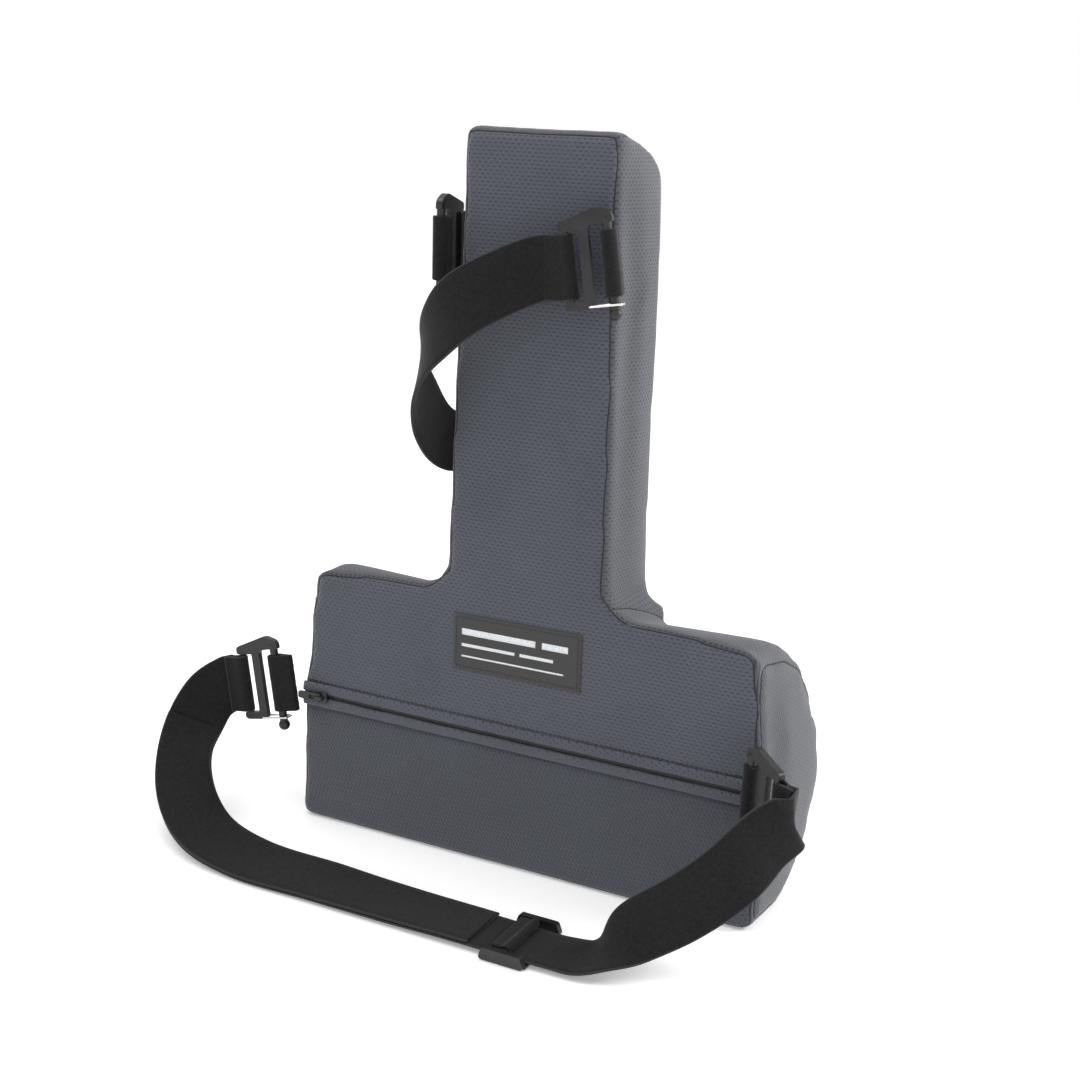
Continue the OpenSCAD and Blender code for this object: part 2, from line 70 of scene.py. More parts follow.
def back_lean():
    """How far the back leans forwards: the mean slope of the faces of its panel that look backwards."""
    facing = Vector((0, 0, 0))
    for polygon in frame["nodes"]["back_panel_upper"].data.polygons:
        if polygon.normal.y < -0.9:
            facing += polygon.normal * polygon.area
    return math.atan2(facing.z, -facing.y)


LEAN = back_lean()
FOOT_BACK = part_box("back_panel_lower")[0].y
INTO_BACK = Vector((0, math.cos(LEAN), -math.sin(LEAN)))


def to_leaning(points):
    """Row-frame points, as an (n, 3) array, in the leaning frame."""
    p = np.asarray(points, float).reshape(-1, 3)
    y, z = p[:, 1] - FOOT_BACK, p[:, 2]
    c, s = math.cos(LEAN), math.sin(LEAN)
    return np.column_stack([p[:, 0], y * c - z * s, y * s + z * c])


def from_leaning(points):
    """Leaning-frame points back in the row frame."""
    p = np.asarray(points, float).reshape(-1, 3)
    y, z = p[:, 1], p[:, 2]
    c, s = math.cos(LEAN), math.sin(LEAN)
    return np.column_stack([p[:, 0], y * c + z * s + FOOT_BACK, z * c - y * s])


def vertices_of(obj):
    co = np.zeros(len(obj.data.vertices) * 3, np.float32)
    obj.data.vertices.foreach_get("co", co)
    return co.reshape(-1, 3).astype(float)


def move_vertices(obj, points):
    obj.data.vertices.foreach_set("co", np.asarray(points, np.float32).ravel())


def leaning_box(node):
    """Lowest and highest corner of a CAD node in the leaning frame."""
    p = to_leaning(vertices_of(frame["nodes"][node]))
    return p.min(0), p.max(0)


# ---- driving dimensions, some read off the frame and the rest given ----

# The base: its ends lean in by END_PULL_IN at the top, and it is deepest at BULGE_Z
BACK_TOP = leaning_box("back_panel_upper")[1][2] + 2 * MM
END_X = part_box("end_panel_right")[1].x
END_PULL_IN = 9 * MM
CROWN_X = END_X - END_PULL_IN
BULGE_Z = 85 * MM
BASE_TOP = leaning_box("back_panel_upper")[0][2] + 92 * MM
BASE_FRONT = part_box("lumbar_wrap_panel")[1].y

# Its front is an arc from the foot's front edge up to the bulge, and a crown above that
FOOT_TO_FRONT = BASE_FRONT + FOOT_BACK
FOOT_R = (BULGE_Z**2 + FOOT_TO_FRONT**2) / (2 * FOOT_TO_FRONT)
CROWN_R = 110 * MM
FOOT_CORNER_R = 14 * MM

# The column: half its width at the top, what that gains per metre down, and its rounded edges
COL_TOP_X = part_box("column_top_cap")[1].x
COL_TAPER = 0.0194
COL_DEPTH = leaning_box("column_wrap_panel")[1][1]
COL_CORNER_R = 26 * MM
COL_TOP_R = 70 * MM
COL_TOP_FLAT = 18 * MM

ZIP_Z = (leaning_box("zipper_tapes")[0][2] + leaning_box("zipper_tapes")[1][2]) / 2
ZIP_HALF = 8 * MM
ZIP_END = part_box("zipper_tapes")[1].x

# Seams lie this far in from the cover's edges
SEAM_IN = 2 * MM
SEAM_CORD_R = 0.45 * MM
SEAM_CORD_SUNK = 0.1 * MM
# The seam at the column's foot stands this far off the base, clear of its swell
COLUMN_SEAM_LIFT = 6 * MM

COVER_VOXEL = 4 * MM
COVER_THICK = 1.4 * MM
CORE_SHRINK = 4 * MM
FUZZ_DEPTH = 0.12 * MM
WEB_W = 42 * MM
WEB_T = 2.2 * MM


# ---- small helpers for meshes and pieces ----


def smoothstep(x):
    t = np.clip(x, 0, 1)
    return t * t * (3 - 2 * t)


def new_object(name, points, faces, material=None):
    mesh = bpy.data.meshes.new(name)
    mesh.from_pydata([tuple(p) for p in points], [], [tuple(f) for f in faces])
    mesh.update()
    obj = bpy.data.objects.new(name, mesh)
    bpy.context.scene.collection.objects.link(obj)
    if material:
        mesh.materials.append(material)
    for polygon in mesh.polygons:
        polygon.use_smooth = True
    return obj


def activate(obj):
    bpy.ops.object.select_all(action="DESELECT")
    obj.select_set(True)
    bpy.context.view_layer.objects.active = obj


def apply_modifiers(obj):
    """Replaces obj's mesh with the result of its modifiers."""
    graph = bpy.context.evaluated_depsgraph_get()
    mesh = bpy.data.meshes.new_from_object(obj.evaluated_get(graph))
    obj.modifiers.clear()
    obj.data = mesh


def add_uv(obj, uv_of_loops):
    layer = obj.data.uv_layers.new(name="weave")
    layer.data.foreach_set("uv", np.asarray(uv_of_loops, np.float32).ravel())


def joined_copy(name, nodes):
    """One object holding copies of the named CAD nodes' meshes."""
    bm = bmesh.new()
    for node in nodes:
        bm.from_mesh(frame["nodes"][node].data)
    mesh = bpy.data.meshes.new(name)
    bm.to_mesh(mesh)
    bm.free()
    obj = bpy.data.objects.new(name, mesh)
    bpy.context.scene.collection.objects.link(obj)
    return obj


def remesh(obj, voxel):
    modifier = obj.modifiers.new("remesh", "REMESH")
    modifier.mode = "VOXEL"
    modifier.voxel_size = voxel
    modifier.use_smooth_shade = True
    apply_modifiers(obj)


def relax(obj, factor, repeats):
    modifier = obj.modifiers.new("relax", "SMOOTH")
    modifier.factor = factor
    modifier.iterations = repeats
    apply_modifiers(obj)


# ---- shader nodes ----


class Nodes:
    """A material's node tree, with short calls for the nodes used here."""

    def __init__(self, name):
        self.material = bpy.data.materials.new(name)
        self.material.use_nodes = True
        self.tree = self.material.node_tree
        self.surface = self.tree.nodes["Principled BSDF"]

    def add(self, kind, settings=None, **inputs):
        node = self.tree.nodes.new(kind)
        for key, value in (settings or {}).items():
            setattr(node, key, value)
        for key, value in inputs.items():
            self.plug(node.inputs[key.replace("_", " ")], value)
        return node

    def plug(self, socket, value):
        if isinstance(value, bpy.types.NodeSocket):
            self.tree.links.new(value, socket)
        else:
            socket.default_value = value

    def math(self, operation, a, b=0.0):
        node = self.tree.nodes.new("ShaderNodeMath")
        node.operation = operation
        self.plug(node.inputs[0], a)
        self.plug(node.inputs[1], b)
        return node.outputs[0]

    def ramp(self, value, low, high, to_low=0.0, to_high=1.0):
        node = self.tree.nodes.new("ShaderNodeMapRange")
        node.interpolation_type = "SMOOTHSTEP"
        self.plug(node.inputs["Value"], value)
        self.plug(node.inputs["From Min"], low)
        self.plug(node.inputs["From Max"], high)
        self.plug(node.inputs["To Min"], to_low)
        self.plug(node.inputs["To Max"], to_high)
        return node.outputs["Result"]

    def mix(self, share, a, b):
        node = self.tree.nodes.new("ShaderNodeMix")
        node.data_type = "RGBA"
        self.plug(node.inputs["Factor"], share)
        self.plug(node.inputs["A"], a)
        self.plug(node.inputs["B"], b)
        return node.outputs["Result"]

    def speckle(self, scale, detail=2.0):
        where = self.add("ShaderNodeTexCoord").outputs["Object"]
        node = self.add("ShaderNodeTexNoise", Vector=where, Scale=scale, Detail=detail)
        return node.outputs["Fac"]

    def bump(self, height, distance, strength=1.0):
        node = self.add("ShaderNodeBump", Height=height, Distance=distance, Strength=strength)
        self.plug(self.surface.inputs["Normal"], node.outputs["Normal"])

    def finish(self, colour, roughness, **others):
        self.plug(self.surface.inputs["Base Color"], colour)
        self.plug(self.surface.inputs["Roughness"], roughness)
        for key, value in others.items():
            self.plug(self.surface.inputs[key.replace("_", " ")], value)
        return self.material


def tone(colour, share):
    """A colour made lighter or darker, with its alpha."""
    return [c * share for c in colour] + [1]


def weave_holes(n, pitch, row, dash, width, angle=0.0):
    """How deep in a dark dash of the weave a point is; each row is set off by half a pitch."""
    uv = n.add("ShaderNodeUVMap", {"uv_map": "weave"}).outputs["UV"]
    turned = n.add("ShaderNodeVectorRotate", {"rotation_type": "Z_AXIS"}, Vector=uv, Angle=angle)
    split = n.add("ShaderNodeSeparateXYZ", Vector=turned.outputs[0])
    v = n.math("DIVIDE", split.outputs["Y"], row)
    odd = n.math("FLOORED_MODULO", n.math("FLOOR", v), 2.0)
    u = n.math("ADD", n.math("DIVIDE", split.outputs["X"], pitch), n.math("MULTIPLY", odd, 0.5))
    across = n.math("MULTIPLY", n.math("SUBTRACT", n.math("FRACT", u), 0.5), pitch / dash * 2)
    along = n.math("MULTIPLY", n.math("SUBTRACT", n.math("FRACT", v), 0.5), row / width * 2)
    reach = n.math("SQRT", n.math("ADD", n.math("POWER", across, 2.0), n.math("POWER", along, 2.0)))
    return n.ramp(reach, 1.35, 0.55)


def mesh_fabric(name, light, dark, pitch, row, dash, width, angle=0.0):
    """Sewn spacer mesh: slate yarn with rows of short dark dashes, heather flecks and a soft sheen."""
    n = Nodes(name)
    holes = weave_holes(n, pitch, row, dash, width, angle)
    flecks = n.speckle(1400.0)
    clouds = n.speckle(16.0)
    yarn = n.mix(n.ramp(flecks, 0.35, 0.68), tone(light, 0.84), tone(light, 1.16))
    worn = n.mix(n.ramp(clouds, 0.3, 0.7), tone(light, 0.9), tone(light, 1.1))
    plain = n.mix(0.5, yarn, worn)
    colour = n.mix(n.math("MULTIPLY", holes, 0.6), plain, list(dark) + [1])
    height = n.math("ADD", n.math("MULTIPLY", holes, -1.0), n.math("MULTIPLY", flecks, 0.35))
    n.bump(height, 0.5 * MM, 0.8)
    return n.finish(colour, 0.82, Sheen_Weight=0.25, Sheen_Roughness=0.5, Specular_IOR_Level=0.25)


def webbing_fabric(name):
    """Matte brushed elastic webbing: heather flecks, fine ribs across it and paler selvedges."""
    n = Nodes(name)
    uv = n.add("ShaderNodeUVMap", {"uv_map": "weave"}).outputs["UV"]
    split = n.add("ShaderNodeSeparateXYZ", Vector=uv)
    ribs = n.math("SINE", n.math("MULTIPLY", split.outputs["X"], 2 * math.pi / (1.3 * MM)))
    flecks = n.speckle(1900.0, 3.0)
    fluff = n.speckle(320.0)
    edge = n.math("ABSOLUTE", split.outputs["Y"])
    selvedge = n.ramp(edge, WEB_W / 2 - 1.2 * MM, WEB_W / 2 - 0.5 * MM)
    body = n.mix(n.ramp(flecks, 0.45, 0.75), (0.008, 0.008, 0.009, 1), (0.03, 0.03, 0.031, 1))
    brushed = n.mix(n.ramp(fluff, 0.3, 0.75, 0.0, 0.4), body, (0.018, 0.018, 0.019, 1))
    colour = n.mix(n.math("MULTIPLY", selvedge, 0.5), brushed, (0.055, 0.057, 0.06, 1))
    height = n.math("ADD", n.math("MULTIPLY", ribs, 0.25), flecks)
    n.bump(height, 0.25 * MM, 0.7)
    return n.finish(colour, 0.93, Sheen_Weight=0.12, Sheen_Roughness=0.45, Specular_IOR_Level=0.15)


def moulded_plastic(name, colour, roughness, grain=900.0):
    """Black moulded plastic with a fine spark-eroded grain and slightly rubbed patches."""
    n = Nodes(name)
    fine = n.speckle(grain * 2)
    rubbed = n.speckle(60.0)
    shade = n.mix(n.ramp(rubbed, 0.35, 0.7), list(colour) + [1], [c * 1.7 + 0.004 for c in colour] + [1])
    n.bump(fine, 0.08 * MM, 0.4)
    return n.finish(shade, n.ramp(rubbed, 0.3, 0.7, roughness, roughness + 0.14))


def steel_wire(name):
    n = Nodes(name)
    drawn = n.speckle(700.0)
    n.bump(drawn, 0.03 * MM, 0.3)
    return n.finish((0.78, 0.77, 0.75, 1), n.ramp(drawn, 0.3, 0.7, 0.14, 0.3), Metallic=1.0)


def open_foam(name):
    n = Nodes(name)
    cells = n.add("ShaderNodeTexVoronoi", Vector=n.add("ShaderNodeTexCoord").outputs["Object"], Scale=700.0)
    colour = n.mix(cells.outputs["Distance"], (0.62, 0.58, 0.45, 1), (0.74, 0.7, 0.58, 1))
    n.bump(cells.outputs["Distance"], 0.4 * MM)
    return n.finish(colour, 0.95)


def woven_label(name):
    """Black damask ribbon: a very fine twill."""
    n = Nodes(name)
    holes = weave_holes(n, 0.9 * MM, 0.6 * MM, 0.7 * MM, 0.35 * MM, 0.5)
    flecks = n.speckle(1200.0)
    colour = n.mix(n.math("MULTIPLY", holes, 0.5), (0.043, 0.042, 0.041, 1), (0.02, 0.02, 0.02, 1))
    n.bump(n.math("ADD", holes, flecks), 0.08 * MM, 0.5)
    return n.finish(colour, 0.7, Sheen_Weight=0.1)


def thread(name, colour):
    n = Nodes(name)
    twist = n.speckle(2500.0)
    shade = n.mix(n.ramp(twist, 0.3, 0.7), tone(colour, 0.7), tone(colour, 1.3))
    n.bump(twist, 0.1 * MM)
    return n.finish(shade, 0.8)


SLATE = (0.080, 0.086, 0.107)
DARK_SLATE = (0.062, 0.067, 0.084)
PALE_SLATE = (0.074, 0.077, 0.088)
HOLE = (0.022, 0.024, 0.032)
back_fabric = mesh_fabric("back_fabric", SLATE, HOLE, 4.3 * MM, 2.5 * MM, 2.9 * MM, 1.0 * MM)
lower_fabric = mesh_fabric("lower_fabric", DARK_SLATE, HOLE, 3.8 * MM, 2.6 * MM, 2.0 * MM, 1.1 * MM, 0.9)
wrap_fabric = mesh_fabric("wrap_fabric", PALE_SLATE, HOLE, 4.0 * MM, 2.4 * MM, 2.6 * MM, 0.9 * MM)
end_fabric = mesh_fabric("end_fabric", PALE_SLATE, HOLE, 3.4 * MM, 2.0 * MM, 2.6 * MM, 0.7 * MM, 1.4)
welt_fabric = mesh_fabric("welt_fabric", SLATE, HOLE, 3.6 * MM, 2.0 * MM, 2.2 * MM, 0.8 * MM, 0.3)
webbing = webbing_fabric("webbing")
hook_plastic = moulded_plastic("hook_plastic", (0.008, 0.008, 0.009), 0.34)
zip_plastic = moulded_plastic("zip_plastic", (0.01, 0.01, 0.011), 0.3, 1500.0)
tape_fabric = thread("tape_fabric", (0.01, 0.01, 0.011))
wire = steel_wire("wire")
foam = open_foam("foam")
label_fabric = woven_label("label_fabric")
dark_thread = thread("dark_thread", (0.012, 0.012, 0.015))
print_thread = thread("print_thread", (0.72, 0.74, 0.76))


# ---- the sewn cover ----


def base_depth(points):
    """How far inside the lumbar base's rounded front a row-frame point is."""
    y, z = points[:, 1], points[:, 2]
    foot = FOOT_R - np.hypot(y - (BASE_FRONT - FOOT_R), z - BULGE_Z)
    crown = CROWN_R - np.hypot(y - (BASE_FRONT - CROWN_R), z - BULGE_Z)
    return np.where(z < BULGE_Z, foot, crown)


def column_side_depth(p):
    """How far inside the column's upright sides and front a leaning-frame point is."""
    half = COL_TOP_X + (BACK_TOP - p[:, 2]) * COL_TAPER
    qx = np.abs(p[:, 0]) - (half - COL_CORNER_R)
    qy = p[:, 1] - (COL_DEPTH - COL_CORNER_R)
    outside = np.hypot(np.maximum(qx, 0), np.maximum(qy, 0))
    return COL_CORNER_R - outside - np.minimum(np.maximum(qx, qy), 0)


def column_top_depth(p):
    """How far inside the column's rolled top a leaning-frame point is."""
    flat = BACK_TOP - p[:, 2]
    rolled = COL_TOP_R - np.hypot(p[:, 1] - COL_TOP_FLAT, p[:, 2] - (BACK_TOP - COL_TOP_R))
    return np.where(p[:, 1] < COL_TOP_FLAT, flat, rolled)


def end_depth(p):
    """How far inside the nearer end a leaning-frame point is; the ends lean in above the bulge."""
    pulled = END_X - (p[:, 2] - BULGE_Z) / (BASE_TOP - BULGE_Z) * (END_X - CROWN_X)
    return np.where(p[:, 2] < BULGE_Z, END_X, pulled) - np.abs(p[:, 0])


def seam_fields(points):
    """The seams as zero levels of smooth fields over the cover."""
    p = to_leaning(points)
    on_base = p[:, 2] < BASE_TOP + 12 * MM
    at_back = p[:, 1] < 6 * MM
    far = 1.0
    foot_of_column = np.where(p[:, 2] < BULGE_Z + 40 * MM, -far, -base_depth(points) - COLUMN_SEAM_LIFT)
    return {
        "back": p[:, 1] - SEAM_IN,
        "end": np.where(on_base, end_depth(p) - SEAM_IN, far),
        "zip_low": np.where(at_back, p[:, 2] - (ZIP_Z - ZIP_HALF), far),
        "zip_high": np.where(at_back, p[:, 2] - (ZIP_Z + ZIP_HALF), far),
        "shoulder": np.where(p[:, 2] < BASE_TOP + 30 * MM, foot_of_column, far),
        "cap_foot": p[:, 2] - (BACK_TOP - COL_TOP_R),
        "cap_edge": np.where(
            p[:, 2] > BACK_TOP - COL_TOP_R - 8 * MM, column_side_depth(p) - column_top_depth(p), -far
        ),
    }


def panel_at(points):
    """The name of the cover panel that each point of the outer surface belongs to."""
    f = seam_fields(points)
    names = np.full(len(points), "lumbar_wrap_panel", object)
    names[f["shoulder"] > 0] = "column_wrap_panel"
    names[(f["cap_foot"] > 0) & (f["cap_edge"] > 0)] = "column_top_cap"
    right = np.asarray(points)[:, 0] > 0
    names[(f["end"] < 0) & right] = "end_panel_right"
    names[(f["end"] < 0) & ~right] = "end_panel_left"
    back = (f["back"] < 0) & (f["end"] >= 0)
    names[back] = "back_panel_upper"
    names[back & (f["zip_high"] < 0)] = "zipper_facing"
    names[back & (f["zip_low"] < 0)] = "back_panel_lower"
    return names


def bm_points(bm):
    return np.array([v.co for v in bm.verts], float).reshape(-1, 3)


def cut_along(bm, field_name):
    """Splits the faces that a seam crosses, so that the seam runs along edges."""
    nudge = 0.2 * MM
    bm.verts.ensure_lookup_table()
    values = seam_fields(bm_points(bm))[field_name]
    values = np.where(np.abs(values) < nudge, nudge, values)
    level = {v: values[i] for i, v in enumerate(bm.verts)}
    cut = set()
    for edge in list(bm.edges):
        a, b = edge.verts
        fa, fb = level[a], level[b]
        if fa * fb >= 0 or abs(fa - fb) > 30 * MM:
            continue
        _, made = bmesh.utils.edge_split(edge, a, fa / (fa - fb))
        cut.add(made)
    for face in list(bm.faces):
        ends = [v for v in face.verts if v in cut]
        if len(ends) == 2:
            bmesh.utils.face_split(face, ends[0], ends[1])


SWELL_PRESSURE = 4.0
SWELL_STEPS = 20
SWELL_ON_BACK = 0.7 * MM
SWELL_IN_FRONT = 3.6 * MM
SWELL_FADE = 30 * MM


def simulate(obj):
    """Blows the cover up a little with Blender's cloth, as foam does behind sewn fabric."""
    blown = obj.copy()
    blown.data = obj.data.copy()
    bpy.context.scene.collection.objects.link(blown)
    cloth = blown.modifiers.new("cloth", "CLOTH")
    cloth.settings.use_pressure = True
    cloth.settings.uniform_pressure_force = SWELL_PRESSURE
    cloth.settings.effector_weights.gravity = 0.0
    cloth.point_cache.frame_start = 1
    cloth.point_cache.frame_end = SWELL_STEPS
    for step in range(1, SWELL_STEPS + 1):
        bpy.context.scene.frame_set(step)
    apply_modifiers(blown)
    result = vertices_of(blown)
    bpy.data.objects.remove(blown)
    bpy.context.scene.frame_set(1)
    return result


def swell_limits(points):
    """How far each point may swell: little on the back and foot, more on the sides and front."""
    p = to_leaning(points)
    from_back = smoothstep((p[:, 1] - 4 * MM) / SWELL_FADE)
    from_floor = smoothstep((points[:, 2] - 3 * MM) / SWELL_FADE)
    return (SWELL_ON_BACK + SWELL_IN_FRONT * from_back) * from_floor


def round_foot_corners(obj):
    """Rounds the base's two bottom corners as seen from behind."""
    p = to_leaning(vertices_of(obj))
    centre_x, centre_z = END_X - FOOT_CORNER_R, FOOT_CORNER_R
    dx, dz = np.abs(p[:, 0]) - centre_x, p[:, 2] - centre_z
    reach = np.hypot(dx, dz)
    outside = (dx > 0) & (dz < 0) & (reach > FOOT_CORNER_R)
    share = FOOT_CORNER_R / reach[outside]
    p[outside, 0] = np.sign(p[outside, 0]) * (centre_x + dx[outside] * share)
    p[outside, 2] = centre_z + dz[outside] * share
    move_vertices(obj, from_leaning(p))


def cover_mesh():
    """The whole cover as one closed mesh, swollen, before its seams are cut in as edges."""
    panels = [n for n in frame["nodes"] if n.endswith(("_panel", "_cap", "_foam")) or "panel_" in n]
    obj = joined_copy("cover", panels)
    remesh(obj, COVER_VOXEL)
    relax(obj, 0.5, 8)
    round_foot_corners(obj)
    rest = vertices_of(obj)
    moved = simulate(obj) - rest
    length = np.linalg.norm(moved, axis=1)
    allowed = np.minimum(1, swell_limits(rest) / np.maximum(length, 1e-9))
    move_vertices(obj, rest + moved * allowed[:, None])
    relax(obj, 0.5, 2)
    divide = obj.modifiers.new("divide", "SUBSURF")
    divide.levels = divide.render_levels = 1
    apply_modifiers(obj)
    return obj


def seam_edges(bm, names):
    inner = [e for e in bm.edges if len(e.link_faces) == 2]
    return [e for e in inner if names[e.link_faces[0].index] != names[e.link_faces[1].index]]


def straighten_seams(edges, repeats=10):
    """Evens out each seam along its own run, leaving the places where seams meet alone."""
    beside = {}
    for edge in edges:
        a, b = edge.verts
        beside.setdefault(a, []).append(b)
        beside.setdefault(b, []).append(a)
    runs = {v: ends for v, ends in beside.items() if len(ends) == 2}
    for _ in range(repeats):
        even = {v: v.co / 2 + (ends[0].co + ends[1].co) / 4 for v, ends in runs.items()}
        for vert, place in even.items():
            vert.co = place


GROOVE_DEPTH = 0.9 * MM
GROOVE_WIDTH = 2.6 * MM
PUCKER_DEPTH = 0.3 * MM
SLACK_DEPTH = 0.35 * MM


def pull_in_seams(bm, edges):
    """Draws the fabric in along its seams and puckers it beside them."""
    tree = KDTree(2 * len(edges))
    for i, edge in enumerate(edges):
        tree.insert(edge.verts[0].co, 2 * i)
        tree.insert((edge.verts[0].co + edge.verts[1].co) / 2, 2 * i + 1)
    tree.balance()
    bm.normal_update()
    moves = []
    for vert in bm.verts:
        _, _, away = tree.find(vert.co)
        groove = GROOVE_DEPTH * math.exp(-((away / GROOVE_WIDTH) ** 2))
        pucker = noise.noise(vert.co * 95) * math.exp(-((away - 5 * MM) ** 2) / (8 * MM) ** 2)
        slack = noise.noise(vert.co * 17 + Vector((3, 1, 7)))
        lift = PUCKER_DEPTH * pucker + SLACK_DEPTH * slack - groove
        moves.append(vert.normal * lift)
    for vert, move in zip(bm.verts, moves):
        vert.co += move


def flatten_foot_and_zip(bm):
    """Rests the foot on the floor and sinks the band behind the zipper."""
    bm.verts.ensure_lookup_table()
    points = bm_points(bm)
    p = to_leaning(points)
    band = (np.abs(p[:, 2] - ZIP_Z) < ZIP_HALF - 0.3 * MM) & (p[:, 1] < 6 * MM) & (np.abs(p[:, 0]) < ZIP_END)
    p[band, 1] = 2.3 * MM
    points = from_leaning(p)
    points[:, 2] = np.maximum(points[:, 2], 0.3 * MM)
    for vert, point in zip(bm.verts, points):
        vert.co = point


def weave_uv(name, points):
    """Where each point of a panel lies on its flat pattern, in metres, for the weave to follow."""
    p = to_leaning(points)
    if name.startswith("back") or name == "zipper_facing":
        return p[:, [0, 2]]
    if name.startswith("end"):
        return points[:, [1, 2]]
    if name == "column_wrap_panel":
        half = COL_TOP_X + (BACK_TOP - p[:, 2]) * COL_TAPER
        qx = np.abs(p[:, 0]) - (half - COL_CORNER_R)
        qy = p[:, 1] - (COL_DEPTH - COL_CORNER_R)
        round_corner = COL_CORNER_R * np.arctan2(np.maximum(qx, 0), np.maximum(qy, 1e-9))
        run = np.minimum(np.abs(p[:, 0]), half - COL_CORNER_R) + round_corner + np.maximum(-qy, 0)
        return np.column_stack([np.sign(p[:, 0]) * run, p[:, 2]])
    if name == "column_top_cap":
        turn = np.arctan2(p[:, 1] - COL_TOP_FLAT, p[:, 2] - (BACK_TOP - COL_TOP_R))
        run = np.where(p[:, 1] < COL_TOP_FLAT, p[:, 1] - COL_TOP_FLAT, COL_TOP_R * turn)
        return np.column_stack([p[:, 0], run])
    y, z = points[:, 1], points[:, 2]
    radius = np.where(z < BULGE_Z, FOOT_R, CROWN_R)
    return np.column_stack([p[:, 0], radius * np.arctan2(z - BULGE_Z, y - (BASE_FRONT - radius))])


PANEL_LOOKS = {
    "back_panel_upper": (back_fabric, "cover_back"),
    "back_panel_lower": (lower_fabric, "cover_lower"),
    "column_wrap_panel": (wrap_fabric, "cover_wrap"),
    "column_top_cap": (wrap_fabric, "cover_wrap"),
    "lumbar_wrap_panel": (wrap_fabric, "cover_wrap"),
    "end_panel_left": (end_fabric, "cover_end"),
    "end_panel_right": (end_fabric, "cover_end"),
    "zipper_facing": (tape_fabric, "zipper_tape"),
}


def panel_object(bm, names, panel):
    """One panel of the cover, lifted off the whole and given the thickness of its fabric."""
    faces = [f for f in bm.faces if names[f.index] == panel]
    number = {}
    for face in faces:
        for vert in face.verts:
            number.setdefault(vert, len(number))
    points = [v.co.copy() for v in number]
    material, slot = PANEL_LOOKS[panel]
    obj = new_object("cover_" + panel, points, [[number[v] for v in f.verts] for f in faces], material)
    uv = weave_uv(panel, np.array(points, float))
    corners = np.array([corner.vertex_index for corner in obj.data.loops])
    add_uv(obj, uv[corners])
    shell = obj.modifiers.new("fabric", "SOLIDIFY")
    shell.thickness = COVER_THICK
    shell.offset = -1
    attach(obj, "support")
    if panel in frame["nodes"]:
        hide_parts(panel)
    return obj


def seam_cord(edges):
    """The dark line of each sewn seam, as a thin cord lying in its groove."""
    number = {}
    for edge in edges:
        for vert in edge.verts:
            number.setdefault(vert, len(number))
    mesh = bpy.data.meshes.new("cover_seams")
    places = [v.co - v.normal * SEAM_CORD_SUNK for v in number]
    mesh.from_pydata(places, [[number[v] for v in e.verts] for e in edges], [])
    obj = bpy.data.objects.new("cover_seams", mesh)
    bpy.context.scene.collection.objects.link(obj)
    activate(obj)
    bpy.ops.object.convert(target="CURVE")
    obj.data.bevel_depth = SEAM_CORD_R
    obj.data.bevel_resolution = 1
    bpy.ops.object.convert(target="MESH")
    obj.data.materials.append(dark_thread)
    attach(obj, "support")


def build_cover():
    whole = cover_mesh()
    bm = bmesh.new()
    bm.from_mesh(whole.data)
    for field_name in ("back", "end", "zip_low", "zip_high", "shoulder", "cap_foot", "cap_edge"):
        cut_along(bm, field_name)
    bm.faces.index_update()
    bm.faces.ensure_lookup_table()
    centres = np.array([f.calc_center_median() for f in bm.faces], float)
    names = panel_at(centres)
    edges = seam_edges(bm, names)
    straighten_seams(edges)
    pull_in_seams(bm, edges)
    straighten_seams(edges, 4)
    flatten_foot_and_zip(bm)
    bm.normal_update()
    for panel in PANEL_LOOKS:
        panel_object(bm, names, panel)
    sewn = [e for e in edges if "zipper_facing" not in {names[f.index] for f in e.link_faces}]
    seam_cord(sewn)
    bm.to_mesh(whole.data)
    surface = BVHTree.FromBMesh(bm)
    bm.free()
    bpy.data.objects.remove(whole)
    return surface


def foam_core(node):
    """A foam block, softened and shrunk so that it stays inside its cover."""
    obj = joined_copy(node + "_core", [node])
    remesh(obj, 7 * MM)
    relax(obj, 0.5, 4)
    points = vertices_of(obj)
    normals = np.array([v.normal for v in obj.data.vertices], float)
    move_vertices(obj, points - normals * CORE_SHRINK)
    obj.data.materials.clear()
    obj.data.materials.append(foam)
    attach(obj, "support")
    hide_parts(node)


cover_surface = build_cover()
foam_core("lumbar_foam")
foam_core("thoracic_foam")


def on_back(x, z, lift=0.0):
    """The point of the cover's back at leaning x and z, lifted off the cloth."""
    start = Vector(from_leaning([[x, -40 * MM, z]])[0])
    hit = cover_surface.ray_cast(start, INTO_BACK)[0]
    if hit is None:
        hit = Vector(from_leaning([[x, 0, z]])[0])
    return hit - INTO_BACK * lift


# ---- stitches ----


def stitches(name, runs, body, radius=0.35 * MM, length=2.3 * MM, pitch=3.5 * MM, material=dark_thread):
    """Rows of short thread stitches, each run a list of points along which they lie."""
    points, faces = [], []
    sides = 6
    for run in runs:
        run = [Vector(q) for q in run]
        gone, wanted = 0.0, 0.0
        for a, b in zip(run, run[1:]):
            span = (b - a).length
            way = (b - a).normalized()
            while wanted < gone + span - length / 2:
                middle = a + way * (wanted - gone + length / 2)
                add_stitch(points, faces, middle, way, radius, length, sides)
                wanted += pitch
            gone += span
    obj = new_object(name, points, faces, material)
    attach(obj, body)
    return obj


